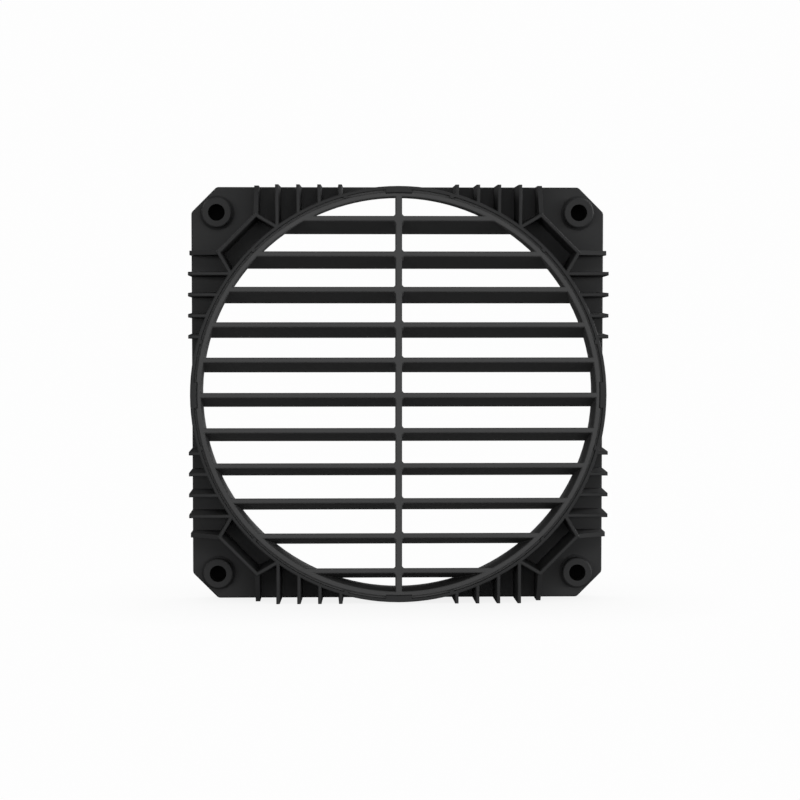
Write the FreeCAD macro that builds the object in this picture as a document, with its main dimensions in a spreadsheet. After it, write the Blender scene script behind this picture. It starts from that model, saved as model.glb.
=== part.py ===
import FreeCAD, Part
import Sketcher
import math
import os

# Fan air guide grille for a 120 mm fan opening, in millimetres.
# The part stands upright: X to the right, Z up, the visible side towards -Y.
# The origin is the centre of the four screw holes, on the flat rear face.
# Two mouldings: a square mounting frame, and a round louvre insert that snaps into its collar.

DRIVING_SIZES = [
    ("outline_width", 120.0, "width and height of the square plate"),
    ("plate_thickness", 3.0, "plate"),
    ("plate_edge_bevel", 0.3, "bevel of the front edge of the plate"),
    ("corner_radius", 1.5, "rounding at both ends of the cut corners"),
    ("corner_margin", 0.4, "plate left outside a boss at the cut corner"),
    ("collar_height", 12.5, "collar, ribs and cell walls over the plate"),
    ("hole_edge_distance", 7.5, "centre of a screw hole from the two edges"),
    ("hole_diameter", 4.8, "screw hole"),
    ("hole_skin", 0.8, "skin that closes each screw hole at the rear"),
    ("boss_diameter", 8.6, "screw boss"),
    ("boss_height", 3.0, "screw boss over the plate"),
    ("boss_foot_bevel", 0.7, "slope at the foot of the boss"),
    ("boss_edge_bevel", 0.3, "bevel at the face of the boss"),
    ("collar_edge_distance", 0.4, "front of the collar from the outline at mid side"),
    ("collar_wall", 0.95, "collar at the front"),
    ("collar_draft", 0.3, "growth of the collar towards the plate"),
    ("collar_edge_bevel", 0.25, "bevel at the front of the collar"),
    ("groove_width", 0.65, "open groove between collar and rim"),
    ("rim_wall", 1.5, "rim of the insert at the front"),
    ("rim_draft", 0.4, "growth of the air bore towards the rear"),
    ("seat_thickness", 1.5, "ledge that carries the insert"),
    ("seat_width", 1.0, "reach of the ledge under the rim"),
    ("cell_depth", 5.5, "diagonal wall of a corner cell from the front of the collar"),
    ("cell_half_length", 7.55, "half of the diagonal wall between its bends"),
    ("rib_pitch", 6.0, "from rib to rib, counted from the bend of the cell"),
    ("rib_width", 1.0, "rib or cell wall at the front"),
    ("rib_draft", 0.3, "growth of each side of a rib down to its foot"),
    ("rib_edge_bevel", 0.2, "bevel of the front edges of ribs and cells"),
    ("end_rib_height", 7.0, "sloping last rib at the outline, over the plate"),
    ("nose_angle", 7.2, "retaining nose, in degrees of the collar"),
    ("nose_reach", 0.4, "reach of the nose over the rim"),
    ("nose_thickness", 1.4, "nose along the axis"),
    ("nose_bevel", 0.3, "lead-in bevel of the nose"),
    ("nose_clearance", 0.1, "free space between nose and notch"),
    ("locating_rib_width", 1.2, "locating rib across the groove"),
    ("locating_rib_clearance", 0.05, "free space between locating rib and rim"),
    ("slat_pitch", 10.08, "from slat to slat"),
    ("slat_end_gap", 3.0, "least height left between the last slat and the rim"),
    ("slat_front_thickness", 1.5, "slat at its front edge"),
    ("slat_rear_thickness", 1.2, "slat at its rear edge"),
    ("slat_drop", 3.4, "how much lower the rear edge lies"),
    ("spine_width", 1.9, "upright bar"),
    ("spine_depth", 4.0, "upright bar along the axis"),
    ("web_bevel", 0.5, "slope where the slats meet the upright bar"),
    ("opening_bevel", 0.25, "bevel of the front edges of slats, rim and bar"),
]

SIDES = 4
EDGE_RIBS = 4
LOCATING_RIBS = 12
TRIM_ALLOWANCE = 1.0
SQUARE_DIAGONAL = math.sqrt(2.0)
DEGREES = 180.0 / math.pi


class Dim:
    """A length with its number and the sheet expression that gives it."""

    def __init__(self, value, text):
        self.value = value
        self.text = text

    def _join(self, other, sign, value):
        return Dim(value, "(" + self.text + " " + sign + " " + other.text + ")")

    def __add__(self, other):
        other = as_dim(other)
        return self._join(other, "+", self.value + other.value)

    def __sub__(self, other):
        other = as_dim(other)
        return self._join(other, "-", self.value - other.value)

    def __mul__(self, other):
        other = as_dim(other)
        return self._join(other, "*", self.value * other.value)

    def __truediv__(self, other):
        other = as_dim(other)
        return self._join(other, "/", self.value / other.value)

    def __neg__(self):
        return as_dim(0.0) - self


def as_dim(number):
    """Wraps a plain number, which needs no cell of its own."""
    if isinstance(number, Dim):
        return number
    return Dim(float(number), repr(float(number)))


def square_root(dim):
    """The square root of a product of lengths."""
    return Dim(math.sqrt(dim.value), "sqrt(" + dim.text + ")")


def swapped(points):
    """The same points on the other side of the diagonal, in the order that closes the outline."""
    return [(up, across) for across, up in reversed(points)]


doc = FreeCAD.newDocument("fan_air_guide_grille")
sheet = doc.addObject("Spreadsheet::Sheet", "Sizes")
size = {}
for row, (alias, number, note) in enumerate(DRIVING_SIZES, start=1):
    sheet.set("A" + str(row), note)
    sheet.set("B" + str(row), str(number))
    sheet.setAlias("B" + str(row), alias)
    size[alias] = Dim(number, "Sizes." + alias)
doc.recompute()

# Sizes that follow from the driving ones
half_outline = size["outline_width"] / 2
half_plate = size["plate_thickness"] / 2
front_level = size["plate_thickness"] + size["collar_height"]
collar_radius = half_outline - size["collar_edge_distance"]
collar_foot_radius = collar_radius + size["collar_draft"]
collar_bore_radius = collar_radius - size["collar_wall"]
root_radius = collar_radius - size["collar_wall"] / 2
rim_radius = collar_bore_radius - size["groove_width"]
air_bore_radius = rim_radius - size["rim_wall"]
seat_bore_radius = rim_radius - size["seat_width"]
nose_radius = rim_radius - size["nose_reach"]
slat_end_radius = air_bore_radius + size["rim_draft"] + size["rim_wall"] / 5
rib_foot_half = size["rib_width"] / 2 + size["rib_draft"]
cell_distance = collar_radius + size["cell_depth"]
end_rib_offset = (cell_distance - size["cell_half_length"]) / SQUARE_DIAGONAL
last_rib_offset = end_rib_offset - size["rib_pitch"]
first_rib_offset = end_rib_offset - size["rib_pitch"] * EDGE_RIBS
boss_radius = size["boss_diameter"] / 2
boss_reach = boss_radius + size["boss_foot_bevel"] + size["corner_margin"]
corner_cut = size["hole_edge_distance"] * 2 - boss_reach * SQUARE_DIAGONAL
hole_offset = half_outline - size["hole_edge_distance"]

# Slats on each side of the middle one
slat_room = air_bore_radius - size["slat_end_gap"]
slat_pairs = int(slat_room.value / size["slat_pitch"].value)


def bind(thing, name, dim):
    """Sets a property and ties it to the sheet."""
    setattr(thing, name, dim.value)
    thing.setExpression(name, dim.text)


def origin_feature(body, role):
    """One of the body's own origin planes or axes."""
    return next(item for item in body.Origin.OriginFeatures if item.Role == role)


def new_sketch(body, name, plane, offset=None, turn=0.0):
    """A sketch on an origin plane, moved along the plane's normal and turned in it."""
    sketch = body.newObject("Sketcher::SketchObject", name)
    sketch.AttachmentSupport = [(origin_feature(body, plane), "")]
    sketch.MapMode = "FlatFace"
    distance = offset.value if offset is not None else 0.0
    rotation = FreeCAD.Rotation(FreeCAD.Vector(0, 0, 1), turn)
    sketch.AttachmentOffset = FreeCAD.Placement(FreeCAD.Vector(0, 0, distance), rotation)
    if offset is not None:
        sketch.setExpression("AttachmentOffset.Base.z", offset.text)
    return sketch


def place_point(sketch, index, end, across, up):
    """Holds a point at its two distances from the sketch origin."""
    for kind, dim, axis in (("DistanceX", across, -2), ("DistanceY", up, -1)):
        if abs(dim.value) < 1e-9:
            sketch.addConstraint(Sketcher.Constraint("PointOnObject", index, end, axis))
            continue
        number = sketch.addConstraint(Sketcher.Constraint(kind, -1, 1, index, end, dim.value))
        sketch.setExpression("Constraints[" + str(number) + "]", dim.text)


def corner_arc(before, corner, after, radius):
    """The two ends and the middle of the arc that rounds a corner."""
    arriving = (corner - before).normalize()
    leaving = (after - corner).normalize()
    turn = arriving.getAngle(leaving)
    reach = radius * math.tan(turn / 2)
    first = corner - arriving * reach
    last = corner + leaving * reach
    inwards = (leaving - arriving).normalize()
    centre = corner + inwards * (radius / math.cos(turn / 2))
    return first, centre - inwards * radius, last


def draw_outline(sketch, corners):
    """A closed outline of straight lines, rounded at each corner that has a radius."""
    corners = [tuple(as_dim(value) for value in corner) for corner in corners]
    points = [FreeCAD.Vector(corner[0].value, corner[1].value, 0) for corner in corners]
    count = len(points)
    arrivals = list(points)
    departures = list(points)
    arcs = {}
    for step, corner in enumerate(corners):
        if len(corner) == 3:
            arc = corner_arc(points[step - 1], points[step], points[(step + 1) % count], corner[2].value)
            arrivals[step] = arc[0]
            departures[step] = arc[2]
            arcs[step] = Part.Arc(*arc)
    lines = []
    for step in range(count):
        line = Part.LineSegment(departures[step], arrivals[(step + 1) % count])
        lines.append(sketch.addGeometry(line, False))
    for step, corner in enumerate(corners):
        if step in arcs:
            round_corner(sketch, lines[step - 1], lines[step], arcs[step], corner)
        else:
            joint = Sketcher.Constraint("Coincident", lines[step - 1], 2, lines[step], 1)
            sketch.addConstraint(joint)
            place_point(sketch, lines[step], 1, corner[0], corner[1])


def round_corner(sketch, before, after, arc, corner):
    """Adds an arc between two lines, held by its radius and by the sharp corner outside it."""
    arc_index = sketch.addGeometry(arc, False)
    first = sketch.getPoint(before, 2)
    start_is_first = sketch.getPoint(arc_index, 1).distanceToPoint(first) < 1e-6
    first_end, last_end = (1, 2) if start_is_first else (2, 1)
    sketch.addConstraint(Sketcher.Constraint("Tangent", before, 2, arc_index, first_end))
    sketch.addConstraint(Sketcher.Constraint("Tangent", after, 1, arc_index, last_end))
    number = sketch.addConstraint(Sketcher.Constraint("Radius", arc_index, corner[2].value))
    sketch.setExpression("Constraints[" + str(number) + "]", corner[2].text)
    sharp = Part.Point(FreeCAD.Vector(corner[0].value, corner[1].value, 0))
    point = sketch.addGeometry(sharp, True)
    sketch.addConstraint(Sketcher.Constraint("PointOnObject", point, 1, before))
    sketch.addConstraint(Sketcher.Constraint("PointOnObject", point, 1, after))
    place_point(sketch, point, 1, corner[0], corner[1])


def draw_rectangle(sketch, left, bottom, right, top):
    """An upright rectangle."""
    draw_outline(sketch, [(left, bottom), (right, bottom), (right, top), (left, top)])


def draw_circle(sketch, across, up, radius):
    """A circle with its centre and radius held."""
    across = as_dim(across)
    up = as_dim(up)
    centre = FreeCAD.Vector(across.value, up.value, 0)
    index = sketch.addGeometry(Part.Circle(centre, FreeCAD.Vector(0, 0, 1), radius.value), False)
    number = sketch.addConstraint(Sketcher.Constraint("Radius", index, radius.value))
    sketch.setExpression("Constraints[" + str(number) + "]", radius.text)
    place_point(sketch, index, 3, across, up)


def new_feature(body, kind, name, sketch):
    """A PartDesign feature from a sketch."""
    feature = body.newObject("PartDesign::" + kind, name)
    feature.Profile = sketch
    feature.Refine = False
    return feature


def pad(body, name, sketch, length, draft=None, middle=False):
    """Material from the sketch along its normal, with an optional draft over the length."""
    feature = new_feature(body, "Pad", name, sketch)
    bind(feature, "Length", length)
    if middle:
        feature.SideType = "Symmetric"
    if draft is not None:
        feature.TaperAngle = -math.degrees(math.atan(draft.value / length.value))
        feature.setExpression("TaperAngle", "-atan(" + draft.text + " / " + length.text + ")")
    doc.recompute()
    return feature


def cut(body, name, sketch, length):
    """Removes material from the sketch against its normal, and tests that it did."""
    before = body.Shape.Volume
    feature = new_feature(body, "Pocket", name, sketch)
    bind(feature, "Length", length)
    doc.recompute()
    require_smaller(body, before, name)
    return feature


def require_smaller(body, before, name):
    """Stops when a cut points away from the solid."""
    if body.Shape.Volume >= before:
        raise RuntimeError(name + " removed nothing")


def revolve(body, name, sketch, kind="Revolution", angle=None):
    """A full turn about the Y axis, or a part turn centred on the sketch."""
    before = body.Shape.Volume if kind == "Groove" else 0.0
    feature = new_feature(body, kind, name, sketch)
    feature.ReferenceAxis = (origin_feature(body, "Y_Axis"), [""])
    if angle is None:
        feature.Angle = 360.0
    else:
        bind(feature, "Angle", angle)
        feature.Midplane = True
    doc.recompute()
    if kind == "Groove":
        require_smaller(body, before, name)
    return feature


def step_copies(container, name, axis, pitch, count):
    """Copies along an axis, inside a body or a multiple pattern."""
    pattern = container.newObject("PartDesign::LinearPattern", name)
    pattern.Direction = (axis, [""])
    pattern.Mode = "Spacing"
    bind(pattern, "Offset", pitch)
    pattern.Occurrences = count
    return pattern


def turn_copies(container, name, axis, count):
    """Copies about an axis."""
    pattern = container.newObject("PartDesign::PolarPattern", name)
    pattern.Axis = (axis, [""])
    pattern.Mode = "Extent"
    pattern.Angle = 360.0
    pattern.Occurrences = count
    return pattern


def repeat(body, name, originals, transformations):
    """Applies a chain of patterns to features of the body."""
    multi = body.newObject("PartDesign::MultiTransform", name)
    multi.Originals = originals
    multi.Transformations = transformations
    multi.Refine = False
    body.Tip = multi
    doc.recompute()
    return multi


def merge_faces(body):
    """Joins the faces that the features so far have left in pieces."""
    body.Tip.Refine = True
    doc.recompute()


def mirror_copy(body, name, plane):
    """The mirrored half of a multiple pattern."""
    mirrored = body.newObject("PartDesign::Mirrored", name)
    mirrored.MirrorPlane = (origin_feature(body, plane), [""])
    return mirrored


def bevel_edges(body, name, leg, wanted):
    """Bevels the edges of the body that the test picks."""
    base = body.Tip
    picked = []
    for number, edge in enumerate(base.Shape.Edges, start=1):
        if wanted(edge):
            picked.append("Edge" + str(number))
    if not picked:
        raise RuntimeError(name + " found no edge")
    feature = body.newObject("PartDesign::Chamfer", name)
    feature.Base = (base, picked)
    bind(feature, "Size", leg)
    doc.recompute()
    return feature


def at_depth(edge, depth):
    """True when an edge lies in the plane that far in front of the rear face."""
    box = edge.BoundBox
    return abs(box.YMin + depth.value) < 1e-3 and abs(box.YMax + depth.value) < 1e-3


def is_circle(edge):
    """True for a whole circle."""
    return isinstance(edge.Curve, Part.Circle) and edge.isClosed()


def on_circle(edge, radius):
    """True when an edge lies on a circle about the Y axis."""
    return all(abs(math.hypot(point.x, point.z) - radius.value) < 1e-3 for point in edge.discretize(5))


def is_web(edge):
    """True for an edge where a slat meets the upright bar."""
    box = edge.BoundBox
    beside = abs(max(abs(box.XMin), abs(box.XMax)) - half_spine.value) < 1e-3
    return beside and box.XLength < 1e-3 and abs(box.YLength - size["spine_depth"].value) < 1e-3


# Mounting frame

frame = doc.addObject("PartDesign::Body", "mounting_frame")
frame.Label = "mounting_frame"
frame_x_axis = origin_feature(frame, "X_Axis")
frame_y_axis = origin_feature(frame, "Y_Axis")

# Square plate with cut corners
sketch = new_sketch(frame, "plate_outline", "XZ_Plane")
near = half_outline - corner_cut
bend_radius = size["corner_radius"]
draw_outline(sketch, [
    (near, half_outline, bend_radius), (-near, half_outline, bend_radius),
    (-half_outline, near, bend_radius), (-half_outline, -near, bend_radius),
    (-near, -half_outline, bend_radius), (near, -half_outline, bend_radius),
    (half_outline, -near, bend_radius), (half_outline, near, bend_radius),
])
pad(frame, "plate", sketch, size["plate_thickness"])
bevel_edges(frame, "plate_front_edge", size["plate_edge_bevel"],
            lambda edge: at_depth(edge, size["plate_thickness"]))

# Four screw bosses with a sloped foot, and their holes
boss_level = size["plate_thickness"] + size["boss_height"]
corners = [(across, up) for across in (-1, 1) for up in (-1, 1)]
sketch = new_sketch(frame, "boss_circles", "XZ_Plane", size["plate_thickness"])
for across, up in corners:
    draw_circle(sketch, hole_offset * across, hole_offset * up, boss_radius)
pad(frame, "bosses", sketch, size["boss_height"])
bevel_edges(frame, "boss_feet", size["boss_foot_bevel"],
            lambda edge: is_circle(edge) and at_depth(edge, size["plate_thickness"]))
bevel_edges(frame, "boss_faces", size["boss_edge_bevel"],
            lambda edge: is_circle(edge) and at_depth(edge, boss_level))
sketch = new_sketch(frame, "hole_circles", "XZ_Plane", boss_level)
for across, up in corners:
    draw_circle(sketch, hole_offset * across, hole_offset * up, size["hole_diameter"] / 2)
cut(frame, "screw_holes", sketch, boss_level - size["hole_skin"])

# Corner cells: a diagonal wall with two end walls that run into the collar
rib_depth = front_level - half_plate
start = (last_rib_offset, square_root(root_radius * root_radius - last_rib_offset * last_rib_offset))
bend = (end_rib_offset, cell_distance * SQUARE_DIAGONAL - end_rib_offset)
run = (bend[0] - start[0], bend[1] - start[1])
run_length = square_root(run[0] * run[0] + run[1] * run[1])
along = (run[0] / run_length, run[1] / run_length)
end_normal = (-along[1], along[0])
diagonal_normal = as_dim(1 / SQUARE_DIAGONAL)
start = (start[0] - along[0] * TRIM_ALLOWANCE, start[1] - along[1] * TRIM_ALLOWANCE)
spread = (end_normal[0] + end_normal[1]) * diagonal_normal + 1.0
reach = rib_foot_half / spread
miter = ((end_normal[0] + diagonal_normal) * reach, (end_normal[1] + diagonal_normal) * reach)
offset = (end_normal[0] * rib_foot_half, end_normal[1] * rib_foot_half)
outside = [(start[0] + offset[0], start[1] + offset[1]), (bend[0] + miter[0], bend[1] + miter[1])]
inside = [(bend[0] - miter[0], bend[1] - miter[1]), (start[0] - offset[0], start[1] - offset[1])]
sketch = new_sketch(frame, "cell_wall_foot", "XZ_Plane", half_plate)
draw_outline(sketch, outside + swapped(outside) + swapped(inside) + inside)
cell_walls = pad(frame, "cell_walls", sketch, rib_depth, size["rib_draft"])
repeat(frame, "corner_cells", [cell_walls], [
    turn_copies(frame, "cell_corners", frame_y_axis, SIDES),
])
bevel_edges(frame, "cell_wall_edges", size["rib_edge_bevel"],
            lambda edge: at_depth(edge, front_level) and edge.Length > size["rib_width"].value * 2)

# Last rib on each half side, which slopes down from the bend of the cell to the outline
sketch = new_sketch(frame, "end_rib_side", "YZ_Plane", end_rib_offset)
end_rib_level = size["plate_thickness"] + size["end_rib_height"]
end_rib_start = front_level - size["rib_edge_bevel"]
draw_outline(sketch, [
    (-half_plate, bend[1]), (-end_rib_start, bend[1]),
    (-end_rib_level, half_outline), (-half_plate, half_outline),
])
end_rib = pad(frame, "end_rib", sketch, size["rib_width"] + size["rib_draft"], middle=True)
repeat(frame, "end_ribs", [end_rib], [
    mirror_copy(frame, "end_rib_mirror", "YZ_Plane"),
    turn_copies(frame, "end_rib_sides", frame_y_axis, SIDES),
])

# Collar, with draft on its outside
sketch = new_sketch(frame, "collar_section", "YZ_Plane")
collar_bevel = size["collar_edge_bevel"]
draw_outline(sketch, [
    (-front_level, rim_radius), (-front_level, collar_radius - collar_bevel),
    (-front_level + collar_bevel, collar_radius),
    (-size["plate_thickness"], collar_foot_radius), (-half_plate, collar_foot_radius),
    (-half_plate, rim_radius),
])
revolve(frame, "collar", sketch)

# Edge ribs, four in each half side, from inside the collar to past the outline
rib_root = square_root(collar_bore_radius * collar_bore_radius - last_rib_offset * last_rib_offset)
rib_start = rib_root - TRIM_ALLOWANCE
rib_half = size["rib_width"] / 2
rib_bevel = size["rib_edge_bevel"]
sketch = new_sketch(frame, "edge_rib_section", "XY_Plane", rib_start)
draw_outline(sketch, [
    (first_rib_offset - rib_foot_half, -half_plate),
    (first_rib_offset - rib_half, -front_level + rib_bevel),
    (first_rib_offset - rib_half + rib_bevel, -front_level),
    (first_rib_offset + rib_half - rib_bevel, -front_level),
    (first_rib_offset + rib_half, -front_level + rib_bevel),
    (first_rib_offset + rib_foot_half, -half_plate),
])
edge_rib = pad(frame, "edge_rib", sketch, half_outline + TRIM_ALLOWANCE - rib_start)
repeat(frame, "edge_ribs", [edge_rib], [
    step_copies(frame, "edge_rib_steps", frame_x_axis, size["rib_pitch"], EDGE_RIBS),
    mirror_copy(frame, "edge_rib_mirror", "YZ_Plane"),
    turn_copies(frame, "edge_rib_sides", frame_y_axis, SIDES),
])

# Rib ends trimmed flush with the outline, and the bore of the ledge under the insert
sketch = new_sketch(frame, "trim_outline", "XZ_Plane", front_level)
far = half_outline + TRIM_ALLOWANCE * 2
draw_rectangle(sketch, -far, -far, far, far)
draw_rectangle(sketch, -half_outline, -half_outline, half_outline, half_outline)
draw_circle(sketch, 0.0, 0.0, seat_bore_radius)
cut(frame, "trim", sketch, front_level)

# Wider bore for the insert, down to the ledge
sketch = new_sketch(frame, "collar_bore_circle", "XZ_Plane", front_level)
draw_circle(sketch, 0.0, 0.0, collar_bore_radius)
cut(frame, "collar_bore", sketch, front_level - size["seat_thickness"])

# Thin ribs that centre the insert in the collar, clear of the noses
sketch = new_sketch(frame, "locating_rib_foot", "XZ_Plane", size["seat_thickness"],
                    turn=180.0 / LOCATING_RIBS)
locating_radius = rim_radius + size["locating_rib_clearance"]
half_locating = size["locating_rib_width"] / 2
draw_rectangle(sketch, locating_radius, -half_locating, root_radius, half_locating)
locating_rib = pad(frame, "locating_rib", sketch, front_level - size["seat_thickness"])
repeat(frame, "locating_ribs", [locating_rib], [
    turn_copies(frame, "locating_rib_turns", frame_y_axis, LOCATING_RIBS),
])

# Four retaining noses over the rim of the insert
nose_level = front_level - size["nose_thickness"]
sketch = new_sketch(frame, "nose_section", "YZ_Plane")
draw_outline(sketch, [
    (-size["seat_thickness"], locating_radius), (-nose_level, locating_radius),
    (-nose_level, nose_radius), (-front_level + size["nose_bevel"], nose_radius),
    (-front_level, nose_radius + size["nose_bevel"]), (-front_level, root_radius),
    (-size["seat_thickness"], root_radius),
])
nose = revolve(frame, "nose", sketch, angle=size["nose_angle"])
repeat(frame, "noses", [nose], [
    turn_copies(frame, "nose_turns", frame_y_axis, SIDES),
])
merge_faces(frame)


# Louvre insert

insert = doc.addObject("PartDesign::Body", "louvre_insert")
insert.Label = "louvre_insert"
insert_y_axis = origin_feature(insert, "Y_Axis")
insert_z_axis = origin_feature(insert, "Z_Axis")

# Slats, which fall towards the rear, cut off round inside the rim
sketch = new_sketch(insert, "slat_section", "YZ_Plane")
lowest = -(size["slat_pitch"] * slat_pairs)
front_half = size["slat_front_thickness"] / 2
rear_half = size["slat_rear_thickness"] / 2
draw_outline(sketch, [
    (-front_level, lowest - front_half), (-front_level, lowest + front_half),
    (-size["seat_thickness"], lowest - size["slat_drop"] + rear_half),
    (-size["seat_thickness"], lowest - size["slat_drop"] - rear_half),
])
slat = pad(insert, "slat", sketch, slat_end_radius * 2, middle=True)
repeat(insert, "slats", [slat], [
    step_copies(insert, "slat_steps", insert_z_axis, size["slat_pitch"], slat_pairs * 2 + 1),
])
sketch = new_sketch(insert, "slat_trim", "XZ_Plane", front_level)
draw_circle(sketch, 0.0, 0.0, slat_end_radius)
draw_circle(sketch, 0.0, 0.0, slat_end_radius * SQUARE_DIAGONAL)
cut(insert, "slat_ends", sketch, front_level)

# Upright bar in front of the slats, with sloped corners where they meet
sketch = new_sketch(insert, "spine_section", "XZ_Plane", front_level - size["spine_depth"])
half_spine = size["spine_width"] / 2
draw_rectangle(sketch, -half_spine, -slat_end_radius, half_spine, slat_end_radius)
pad(insert, "spine", sketch, size["spine_depth"])
merge_faces(insert)
bevel_edges(insert, "webs", size["web_bevel"], is_web)
bevel_edges(insert, "front_edges", size["opening_bevel"],
            lambda edge: at_depth(edge, front_level) and not on_circle(edge, slat_end_radius))

# Rim, with draft in its bore
sketch = new_sketch(insert, "rim_section", "YZ_Plane")
rim_bevel = size["opening_bevel"]
draw_outline(sketch, [
    (-front_level, air_bore_radius + rim_bevel), (-front_level, rim_radius - rim_bevel),
    (-front_level + rim_bevel, rim_radius), (-size["seat_thickness"], rim_radius),
    (-size["seat_thickness"], air_bore_radius + size["rim_draft"]),
    (-front_level + rim_bevel, air_bore_radius),
])
revolve(insert, "rim", sketch)
merge_faces(insert)

# Notches for the noses
sketch = new_sketch(insert, "notch_section", "YZ_Plane")
notch_level = nose_level - size["nose_clearance"]
notch_radius = nose_radius - size["nose_clearance"]
draw_rectangle(sketch, -front_level - TRIM_ALLOWANCE, notch_radius, -notch_level,
               rim_radius + TRIM_ALLOWANCE)
notch_angle = size["nose_angle"] + size["nose_clearance"] * 2 / rim_radius * DEGREES
notch = revolve(insert, "notch", sketch, kind="Groove", angle=notch_angle)
repeat(insert, "notches", [notch], [
    turn_copies(insert, "notch_turns", insert_y_axis, SIDES),
])
merge_faces(insert)


# Tests of every feature, then the files

doc.recompute()
for item in doc.Objects:
    if "Invalid" in item.State or "Error" in item.State:
        raise RuntimeError(item.Name + " failed")
os.makedirs("parts", exist_ok=True)
for body in (frame, insert):
    shape = body.Shape
    if shape.isNull() or not shape.isValid() or len(shape.Solids) != 1:
        raise RuntimeError(body.Label + " isn't one valid solid")
    shape.exportStep("parts/" + body.Label + ".step")
    print(body.Label, "volume", round(shape.Volume, 1), "faces", len(shape.Faces))
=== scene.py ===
"""Fan air guide grille: its two mouldings, their plastics, the studio and the camera."""

import logging
import math
from dataclasses import dataclass, field
from enum import Enum

import bpy
from mathutils import Matrix, Vector

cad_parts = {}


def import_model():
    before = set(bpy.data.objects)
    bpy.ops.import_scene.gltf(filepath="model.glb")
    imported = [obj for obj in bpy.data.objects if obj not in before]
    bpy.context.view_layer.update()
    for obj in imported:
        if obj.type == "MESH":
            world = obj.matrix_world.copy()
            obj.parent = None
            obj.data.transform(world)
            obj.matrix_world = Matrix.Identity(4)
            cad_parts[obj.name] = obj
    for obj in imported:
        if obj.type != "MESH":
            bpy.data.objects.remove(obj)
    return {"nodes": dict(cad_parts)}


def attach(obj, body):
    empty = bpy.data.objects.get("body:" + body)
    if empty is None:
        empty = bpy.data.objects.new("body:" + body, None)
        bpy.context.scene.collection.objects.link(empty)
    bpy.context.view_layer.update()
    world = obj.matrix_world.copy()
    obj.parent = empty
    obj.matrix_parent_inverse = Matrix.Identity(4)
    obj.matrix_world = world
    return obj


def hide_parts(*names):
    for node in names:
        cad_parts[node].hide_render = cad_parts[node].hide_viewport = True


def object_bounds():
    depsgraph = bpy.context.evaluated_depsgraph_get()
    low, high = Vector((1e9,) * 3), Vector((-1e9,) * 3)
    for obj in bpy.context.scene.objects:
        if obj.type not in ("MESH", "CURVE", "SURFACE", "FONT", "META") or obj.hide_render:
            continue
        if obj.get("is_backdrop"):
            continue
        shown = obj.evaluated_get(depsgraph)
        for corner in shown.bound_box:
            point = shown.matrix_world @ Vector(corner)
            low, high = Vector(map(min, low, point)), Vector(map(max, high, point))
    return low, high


LOG = logging.getLogger("fan_air_guide")
BODY = "root"

Colour = tuple[float, float, float, float]
Socket = bpy.types.NodeSocket
BLACK: Colour = (0.0, 0.0, 0.0, 1.0)
WHITE: Colour = (1.0, 1.0, 1.0, 1.0)

# Places of the sockets that a Mix node uses for colours
MIX_SHARE = 0
MIX_FIRST = 6
MIX_SECOND = 7
MIX_RESULT = 2


class Moulding(Enum):
    """The two mouldings of the grille, by the name of their CAD node."""

    FRAME = "mounting_frame"
    INSERT = "louvre_insert"


@dataclass(frozen=True)
class Wiring:
    """Short ways to add and join the shader nodes of one material or of the world."""

    tree: bpy.types.NodeTree

    def add(self, kind: str) -> bpy.types.Node:
        """Adds a node of Blender's own kind."""
        return self.tree.nodes.new(kind)

    def feed(self, target: Socket, value: Socket | Colour | float) -> None:
        """Joins an input to another node's output, or sets it to a colour or a number.

        Args:
            target: The input.
            value: The output, colour or number that it takes.
        """
        if isinstance(value, bpy.types.NodeSocket):
            self.tree.links.new(value, target)
        else:
            target.default_value = value

    def math(self, operation: str, *values: Socket | float) -> Socket:
        """Adds a sum, product or other operation.

        Args:
            operation: Blender's name of the operation.
            values: What it works on, in the order of its inputs.

        Returns:
            The socket with the result.
        """
        node = self.add("ShaderNodeMath")
        node.operation = operation
        for target, value in zip(node.inputs, values):
            self.feed(target, value)
        return node.outputs["Value"]

    def ramp(self, value: Socket, start: float, end: float,
             bottom: float = 0.0, top: float = 1.0) -> Socket:
        """Adds a straight ramp, which stays level before its start and after its end.

        Args:
            value: The socket that runs along the ramp.
            start: The value at which the ramp leaves its bottom.
            end: The value at which it reaches its top.
            bottom: The result at the start.
            top: The result at the end.

        Returns:
            The socket with the result.
        """
        node = self.add("ShaderNodeMapRange")
        node.inputs["From Min"].default_value = start
        node.inputs["From Max"].default_value = end
        node.inputs["To Min"].default_value = bottom
        node.inputs["To Max"].default_value = top
        self.feed(node.inputs["Value"], value)
        return node.outputs["Result"]

    def blend(self, share: Socket, first: Socket | Colour, second: Socket | Colour) -> Socket:
        """Adds a mix of two colours.

        Args:
            share: How much of the second colour shows, from 0 to 1.
            first: The first colour.
            second: The second colour.

        Returns:
            The socket with the colour.
        """
        node = self.add("ShaderNodeMix")
        node.data_type = "RGBA"
        self.feed(node.inputs[MIX_SHARE], share)
        self.feed(node.inputs[MIX_FIRST], first)
        self.feed(node.inputs[MIX_SECOND], second)
        return node.outputs[MIX_RESULT]


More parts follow.
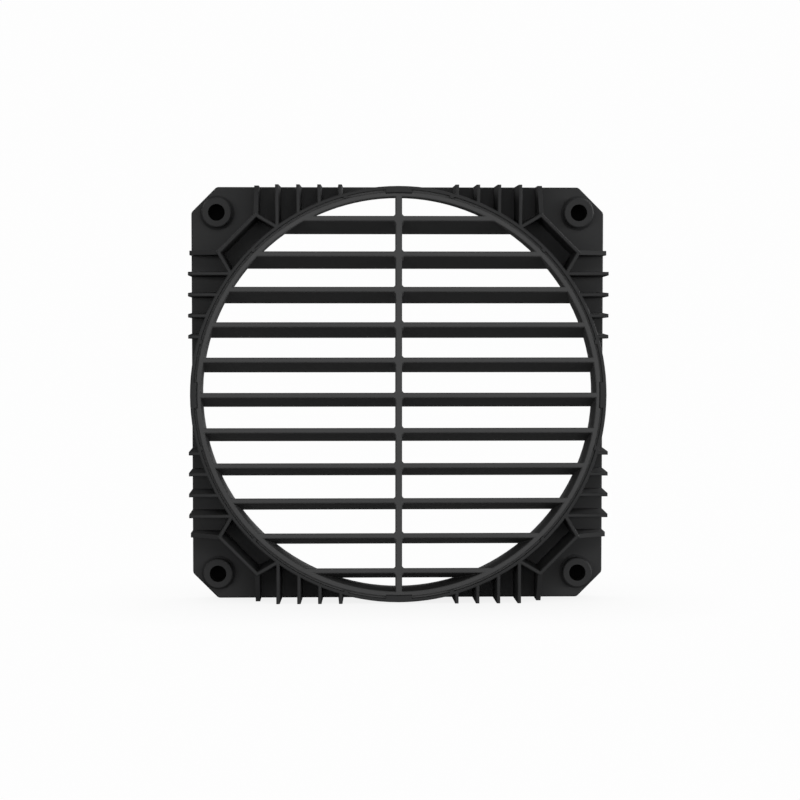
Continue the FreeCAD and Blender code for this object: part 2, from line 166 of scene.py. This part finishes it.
@dataclass(frozen=True)
class PaintedHoleShade:
    """Painted shade: black painted inside the four blind screw holes, standing in for the
    shade deep in them.

    Lengths are in metres. Each hole's axis is as far from the centre along X as along Z. The
    black reaches just past the holes' walls. Along Y it begins at the mouth and is full from
    walls_black on, as far as skin_black, which lies in the skin behind the floors. The rear
    face of that skin keeps its own colour, from skin_plain on.
    """

    from_centre: float = 0.0525
    radius: float = 0.00246
    fade: float = 0.00003
    mouth: float = -0.0060
    walls_black: float = -0.0054
    skin_black: float = -0.00072
    skin_plain: float = -0.0004

    def mask(self, wires: Wiring, where: Socket) -> Socket:
        """Marks the walls and floors of the holes, where black is painted as shade.

        Args:
            wires: The material's nodes.
            where: The socket with Object coordinates.

        Returns:
            The socket with the mask, from 0 outside to 1 deep in a hole.
        """
        parts = wires.add("ShaderNodeSeparateXYZ")
        wires.feed(parts.inputs["Vector"], where)
        offset = wires.add("ShaderNodeCombineXYZ")
        for axis in ("X", "Z"):
            side = wires.math("ABSOLUTE", parts.outputs[axis])
            wires.feed(offset.inputs[axis], wires.math("SUBTRACT", side, self.from_centre))
        length = wires.add("ShaderNodeVectorMath")
        length.operation = "LENGTH"
        wires.feed(length.inputs[0], offset.outputs["Vector"])
        inside = wires.ramp(length.outputs["Value"], self.radius + self.fade, self.radius)
        deep = wires.ramp(parts.outputs["Y"], self.mouth, self.walls_black)
        in_front = wires.ramp(parts.outputs["Y"], self.skin_plain, self.skin_black)
        return wires.math("MULTIPLY", wires.math("MULTIPLY", inside, deep), in_front)


@dataclass(frozen=True)
class PlasticFinish:
    """Matt black moulded plastic with a fine spark-eroded grain.

    Lengths are in metres, as they are on the object. The ranges of the clouds and of the flow
    are values of their noise. The range of an edge is how far its faces agree: 1 on a flat.
    """

    name: str
    base: Colour
    shade: Colour
    worn: Colour
    roughness: float
    roughness_change: float = 0.05
    refraction: float = 1.5
    gloss: float = 0.15
    noise_roughness: float = 0.55
    waves_per_blotch: float = 0.5
    grain_size: float = 0.00035
    grain_detail: float = 2.0
    grain_height: float = 0.000012
    grain_strength: float = 0.6
    cloud_size: float = 0.018
    cloud_detail: float = 3.0
    cloud_range: tuple[float, float] = (0.35, 0.65)
    flow_size: float = 0.030
    flow_detail: float = 2.0
    flow_range: tuple[float, float] = (0.3, 0.7)
    edge_radius: float = 0.0003
    edge_samples: int = 4
    edge_range: tuple[float, float] = (1.0, 0.7)
    edge_wear: float = 0.5
    # Painted shade for the screw holes, if given
    holes: PaintedHoleShade | None = None

    def make(self) -> bpy.types.Material:
        """Builds the material.

        Returns:
            The material, with its pattern on Object coordinates.
        """
        material = bpy.data.materials.new(self.name)
        material.use_nodes = True
        wires = Wiring(material.node_tree)
        shader = wires.tree.nodes["Principled BSDF"]
        shader.inputs["IOR"].default_value = self.refraction
        shader.inputs["Specular IOR Level"].default_value = self.gloss
        where = wires.add("ShaderNodeTexCoord").outputs["Object"]
        colour = self._colour(wires, where)
        roughness = self._roughness(wires, where)
        # Painted shade: black is painted into the screw holes, and their roughness goes to
        # full
        if self.holes is not None:
            mask = self.holes.mask(wires, where)
            colour = wires.blend(mask, colour, BLACK)
            roughness = wires.math("MAXIMUM", mask, roughness)
        wires.feed(shader.inputs["Base Color"], colour)
        wires.feed(shader.inputs["Roughness"], roughness)
        wires.feed(shader.inputs["Normal"], self._relief(wires, where))
        return material

    def _noise(self, wires: Wiring, where: Socket, size: float, detail: float) -> Socket:
        """Adds a noise whose blotches are about as large as the given size.

        Args:
            wires: The material's nodes.
            where: The socket with Object coordinates.
            size: Width of one blotch in metres.
            detail: Number of finer layers.

        Returns:
            The socket with the noise.
        """
        noise = wires.add("ShaderNodeTexNoise")
        noise.inputs["Scale"].default_value = self.waves_per_blotch / size
        noise.inputs["Detail"].default_value = detail
        noise.inputs["Roughness"].default_value = self.noise_roughness
        wires.feed(noise.inputs["Vector"], where)
        return noise.outputs["Fac"]

    def _softened_normal(self, wires: Wiring) -> Socket:
        """Adds a normal that turns gently over each edge.

        Args:
            wires: The material's nodes.

        Returns:
            The socket with the normal.
        """
        soft = wires.add("ShaderNodeBevel")
        soft.samples = self.edge_samples
        soft.inputs["Radius"].default_value = self.edge_radius
        return soft.outputs["Normal"]

    def _colour(self, wires: Wiring, where: Socket) -> Socket:
        """Colour: soft clouds in the pigment, and slightly paler rubbed edges.

        Args:
            wires: The material's nodes.
            where: The socket with Object coordinates.

        Returns:
            The socket with the colour.
        """
        clouds = self._noise(wires, where, self.cloud_size, self.cloud_detail)
        spread = wires.ramp(clouds, *self.cloud_range)
        pigment = wires.blend(spread, self.shade, self.base)
        return wires.blend(self._edge_mask(wires), pigment, self.worn)

    def _edge_mask(self, wires: Wiring) -> Socket:
        """A mask that rises where two faces meet at an outer or inner edge.

        Args:
            wires: The material's nodes.

        Returns:
            The socket with the mask, from 0 on a flat to the full wear at an edge.
        """
        flat = wires.add("ShaderNodeNewGeometry")
        agreement = wires.add("ShaderNodeVectorMath")
        agreement.operation = "DOT_PRODUCT"
        wires.feed(agreement.inputs[0], flat.outputs["Normal"])
        wires.feed(agreement.inputs[1], self._softened_normal(wires))
        return wires.ramp(agreement.outputs["Value"], *self.edge_range, top=self.edge_wear)

    def _roughness(self, wires: Wiring, where: Socket) -> Socket:
        """Roughness: a little smoother where the melt flowed.

        Args:
            wires: The material's nodes.
            where: The socket with Object coordinates.

        Returns:
            The socket with the roughness.
        """
        flow = self._noise(wires, where, self.flow_size, self.flow_detail)
        smoothest = self.roughness - self.roughness_change
        roughest = self.roughness + self.roughness_change
        return wires.ramp(flow, *self.flow_range, bottom=smoothest, top=roughest)

    def _relief(self, wires: Wiring, where: Socket) -> Socket:
        """Relief: the fine grain of the mould, over edges softened by a small radius.

        Args:
            wires: The material's nodes.
            where: The socket with Object coordinates.

        Returns:
            The socket with the normal.
        """
        bump = wires.add("ShaderNodeBump")
        bump.inputs["Strength"].default_value = self.grain_strength
        bump.inputs["Distance"].default_value = self.grain_height
        grain = self._noise(wires, where, self.grain_size, self.grain_detail)
        wires.feed(bump.inputs["Height"], grain)
        wires.feed(bump.inputs["Normal"], self._softened_normal(wires))
        return bump.outputs["Normal"]


FRAME_PLASTIC = PlasticFinish(
    name="frame_plastic",
    base=(0.0300, 0.0302, 0.0308, 1.0),
    shade=(0.0265, 0.0268, 0.0274, 1.0),
    worn=(0.0400, 0.0402, 0.0408, 1.0),
    roughness=0.62,
    # Painted shade: black painted inside the screw holes
    holes=PaintedHoleShade(),
)
INSERT_PLASTIC = PlasticFinish(
    name="louvre_plastic",
    base=(0.0630, 0.0632, 0.0638, 1.0),
    shade=(0.0590, 0.0592, 0.0598, 1.0),
    worn=(0.0720, 0.0722, 0.0728, 1.0),
    roughness=0.58,
)


@dataclass
class RimStep:
    """The step outside the insert's rim that closes the groove just under its front.

    Radii, places along Y and sizes are in metres.
    """

    inner_radius: float = 0.05790
    outer_radius: float = 0.05862
    front: float = -0.0145
    depth: float = 0.0007
    sides: int = 192

    def build(self) -> bpy.types.Object:
        """Models the step as a flat ring with a thickness.

        Returns:
            The ring, with its place in its mesh.
        """
        bpy.ops.object.select_all(action="DESELECT")
        bpy.ops.mesh.primitive_circle_add(
            vertices=self.sides, radius=self.outer_radius, fill_type="NOTHING",
            calc_uvs=False)
        ring = bpy.context.object
        ring.name = "rim_step"
        ring.rotation_euler = (math.radians(90.0), 0.0, 0.0)
        ring.location = (0.0, self.front, 0.0)
        bpy.ops.object.transform_apply(location=True, rotation=True, scale=True)
        inwards = self.inner_radius / self.outer_radius
        bpy.ops.object.mode_set(mode="EDIT")
        bpy.ops.mesh.select_all(action="SELECT")
        bpy.ops.mesh.extrude_edges_move()
        bpy.ops.transform.resize(
            value=(inwards, 1.0, inwards), center_override=(0.0, self.front, 0.0))
        bpy.ops.mesh.select_all(action="SELECT")
        bpy.ops.mesh.extrude_region_move(
            TRANSFORM_OT_translate={"value": (0.0, self.depth, 0.0)})
        bpy.ops.mesh.select_all(action="SELECT")
        bpy.ops.mesh.normals_make_consistent(inside=False)
        bpy.ops.object.mode_set(mode="OBJECT")
        return ring


@dataclass
class Grille:
    """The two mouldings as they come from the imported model, with their finishes."""

    nodes: dict[str, bpy.types.Object]
    step: RimStep = field(default_factory=RimStep)
    finishes: dict[Moulding, PlasticFinish] = field(default_factory=lambda: {
        Moulding.FRAME: FRAME_PLASTIC,
        Moulding.INSERT: INSERT_PLASTIC,
    })

    def dress(self) -> None:
        """Gives each moulding its plastic, and the insert the step on its rim."""
        for moulding, finish in self.finishes.items():
            piece = self.nodes[moulding.value]
            if moulding is Moulding.INSERT:
                piece = self._stepped_copy(piece)
            material = finish.make()
            for slot in piece.material_slots:
                slot.material = material
            LOG.info("%s dressed with %s", piece.name, finish.name)

    def _stepped_copy(self, node: bpy.types.Object) -> bpy.types.Object:
        """Stands a copy of the insert, with the step on its rim, in the node's place.

        Args:
            node: The insert as packed.

        Returns:
            The copy.
        """
        shown = node.copy()
        shown.data = node.data.copy()
        shown.name = "louvre_insert_shown"
        bpy.context.scene.collection.objects.link(shown)
        ring = self.step.build()
        ring.data.materials.append(shown.data.materials[0])
        bpy.ops.object.select_all(action="DESELECT")
        shown.select_set(True)
        ring.select_set(True)
        bpy.context.view_layer.objects.active = shown
        bpy.ops.object.join()
        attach(shown, BODY)
        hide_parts(Moulding.INSERT.value)
        return shown


@dataclass
class Softbox:
    """One soft lamp of the studio, a rectangle that faces the grille.

    The angles are in degrees, the azimuth from the front and positive to the right. The power
    is in watts. Lengths are in metres.
    """

    name: str
    azimuth: float
    elevation: float
    power: float
    width: float = 0.8
    height: float = 0.7
    distance: float = 1.6

    def build(self) -> None:
        """Adds the lamp."""
        data = bpy.data.lights.new(self.name, "AREA")
        data.shape = "RECTANGLE"
        data.size = self.width
        data.size_y = self.height
        data.energy = self.power
        lamp = bpy.data.objects.new(self.name, data)
        bpy.context.scene.collection.objects.link(lamp)
        across = math.radians(self.azimuth)
        up = math.radians(self.elevation)
        place = Vector((
            math.cos(up) * math.sin(across),
            -math.cos(up) * math.cos(across),
            math.sin(up),
        )) * self.distance
        lamp.location = place
        lamp.rotation_euler = (-place).to_track_quat("-Z", "Y").to_euler()


@dataclass
class Studio:
    """Plain white studio: a pale floor, a little ambient light and soft lamps all round.

    The strengths are shares of white: how bright the floor and the background stand in the
    picture, how bright they look in a gloss, and how much a painted shadow darkens the floor
    close to the grille. The reach of that painted shadow and the floor's level and radius are
    in metres.
    """

    floor_level: float
    floor_radius: float = 3.0
    floor_sides: int = 96
    floor_grey: float = 0.10
    floor_roughness: float = 0.9
    white: float = 0.985
    ambient: float = 0.05
    gloss_white: float = 0.05
    painted_shadow_depth: float = 0.14
    painted_shadow_reach: float = 0.05
    painted_shadow_samples: int = 16
    lamps: list[Softbox] = field(default_factory=lambda: [
        Softbox("lamp_right", azimuth=60.0, elevation=4.0, power=7.0, height=0.25),
        Softbox("lamp_front_right", azimuth=30.0, elevation=4.0, power=4.0, height=0.25),
        Softbox("lamp_front", azimuth=0.0, elevation=4.0, power=3.8, height=0.25),
        Softbox("lamp_front_left", azimuth=-30.0, elevation=4.0, power=5.8, height=0.25),
        Softbox("lamp_front_high", azimuth=5.0, elevation=27.0, power=3.8, height=0.4),
        Softbox("lamp_rear_right", azimuth=120.0, elevation=16.0, power=22.0, height=1.0),
        Softbox("lamp_rear_left", azimuth=-120.0, elevation=30.0, power=8.5),
        Softbox("lamp_top", azimuth=120.0, elevation=60.0, power=6.0),
    ])

    def build(self) -> None:
        """Adds the floor, the world and the lamps."""
        self._floor()
        self._world()
        for lamp in self.lamps:
            lamp.build()
        LOG.info("studio built with %d lamps", len(self.lamps))

    def _white_share(self, wires: Wiring) -> Socket:
        """The share of white for the camera, in a gloss and through glass.

        Args:
            wires: The nodes of a material or of the world.

        Returns:
            The socket with the share, which is 0 for all other light.
        """
        path = wires.add("ShaderNodeLightPath")
        direct = wires.math(
            "MAXIMUM", path.outputs["Is Camera Ray"], path.outputs["Is Transmission Ray"])
        shown = wires.math("MULTIPLY", direct, self.white)
        glossy = path.outputs["Is Glossy Ray"]
        return wires.math("MULTIPLY_ADD", glossy, self.gloss_white, shown)

    def _show(self, wires: Wiring, share: Socket, plain: Socket, white: Socket) -> Socket:
        """Shows white by its share, and what is plain for the rest.

        Args:
            wires: The nodes of a material or of the world.
            share: The share of white.
            plain: The shader that light and shadow fall on.
            white: The white shader.

        Returns:
            The socket with the mixed shader.
        """
        mix = wires.add("ShaderNodeMixShader")
        wires.feed(mix.inputs["Fac"], share)
        wires.feed(mix.inputs[1], plain)
        wires.feed(mix.inputs[2], white)
        return mix.outputs["Shader"]

    def _floor(self) -> None:
        """Adds a round pale floor just under the grille, with a faint painted shadow near it.
        """
        bpy.ops.object.select_all(action="DESELECT")
        bpy.ops.mesh.primitive_circle_add(
            vertices=self.floor_sides, radius=self.floor_radius, fill_type="NGON",
            location=(0.0, 0.0, self.floor_level),
        )
        floor = bpy.context.object
        floor.name = "floor"
        bpy.ops.object.transform_apply(location=True, rotation=True, scale=True)
        floor.data.materials.append(self._floor_paint())
        floor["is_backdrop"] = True

    def _floor_paint(self) -> bpy.types.Material:
        """Builds the floor's material, white for the camera, with a painted shadow near the
        grille.

        Returns:
            The material.
        """
        material = bpy.data.materials.new("pale_floor")
        material.use_nodes = True
        wires = Wiring(material.node_tree)
        shader = wires.tree.nodes["Principled BSDF"]
        shader.inputs["Base Color"].default_value = (
            self.floor_grey, self.floor_grey, self.floor_grey, 1.0)
        shader.inputs["Roughness"].default_value = self.floor_roughness
        shader.inputs["Specular IOR Level"].default_value = 0.0
        white = wires.add("ShaderNodeEmission")
        # Painted shadow: the floor's white share is dimmed by ambient occlusion near the
        # grille, not by the lamps
        nearness = wires.add("ShaderNodeAmbientOcclusion")
        nearness.samples = self.painted_shadow_samples
        nearness.inputs["Distance"].default_value = self.painted_shadow_reach
        shadow = wires.ramp(
            nearness.outputs["AO"], 0.0, 1.0, bottom=1.0 - self.painted_shadow_depth)
        share = wires.math("MULTIPLY", self._white_share(wires), shadow)
        surface = self._show(wires, share, shader.outputs["BSDF"], white.outputs["Emission"])
        wires.feed(wires.tree.nodes["Material Output"].inputs["Surface"], surface)
        return material

    def _world(self) -> None:
        """Even ambient light, with a white background for the camera."""
        world = bpy.data.worlds.new("studio")
        bpy.context.scene.world = world
        world.use_nodes = True
        wires = Wiring(world.node_tree)
        ambient = wires.tree.nodes["Background"]
        ambient.inputs["Color"].default_value = WHITE
        ambient.inputs["Strength"].default_value = self.ambient
        white = wires.add("ShaderNodeBackground")
        white.inputs["Color"].default_value = WHITE
        white.inputs["Strength"].default_value = 1.0
        share = self._white_share(wires)
        surface = self._show(
            wires, share, ambient.outputs["Background"], white.outputs["Background"])
        wires.feed(wires.tree.nodes["World Output"].inputs["Surface"], surface)


@dataclass
class ProductCamera:
    """The camera of the product picture, from the fit to the photograph.

    The fit turns the object by yaw about Z and then by pitch about X, both in radians, and
    moves it in front of the lens by across, away and up, in metres. Its own origin is the
    centre of the plate's front face. The sensor is in millimetres, the two sizes in pixels
    belong to the photograph, and the camera sees from nearest to farthest, in metres.
    """

    focal_px: float = 1907.9
    frame_px: float = 800.0
    yaw: float = 0.024605
    pitch: float = 0.047625
    across: float = -0.0006366
    away: float = 0.5578927
    up: float = 0.0019683
    plate_front: float = -0.003
    sensor: float = 36.0
    nearest: float = 0.01
    farthest: float = 20.0

    def build(self) -> None:
        """Adds the camera and makes it the scene's own."""
        turn = Matrix.Rotation(self.pitch, 3, "X") @ Matrix.Rotation(self.yaw, 3, "Z")
        back = turn.transposed()
        place = -(back @ Vector((self.across, self.away, self.up)))
        place.y += self.plate_front
        right = back @ Vector((1.0, 0.0, 0.0))
        ahead = back @ Vector((0.0, 1.0, 0.0))
        above = back @ Vector((0.0, 0.0, 1.0))
        axes = Matrix((right, above, -ahead)).transposed().to_4x4()
        data = bpy.data.cameras.new("product_camera")
        data.sensor_fit = "HORIZONTAL"
        data.sensor_width = self.sensor
        data.lens = self.sensor * self.focal_px / self.frame_px
        data.clip_start = self.nearest
        data.clip_end = self.farthest
        camera = bpy.data.objects.new("product_camera", data)
        bpy.context.scene.collection.objects.link(camera)
        camera.matrix_world = Matrix.Translation(place) @ axes
        bpy.context.scene.camera = camera
        LOG.info("camera at %s", tuple(round(value, 4) for value in place))


def plain_box(corners: tuple) -> list[list[float]]:
    """The two corners of a box as plain lists of numbers."""
    return [[float(value) for value in corner] for corner in corners]


def main() -> None:
    """Builds the scene in order."""
    logging.basicConfig(level=logging.INFO, format="%(name)s: %(message)s")
    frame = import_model()
    cad_box = plain_box(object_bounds())
    bpy.context.scene.view_settings.view_transform = "Standard"
    ProductCamera().build()
    Grille(frame["nodes"]).dress()
    Studio(floor_level=cad_box[0][2]).build()


if __name__ == "__main__":
    main()
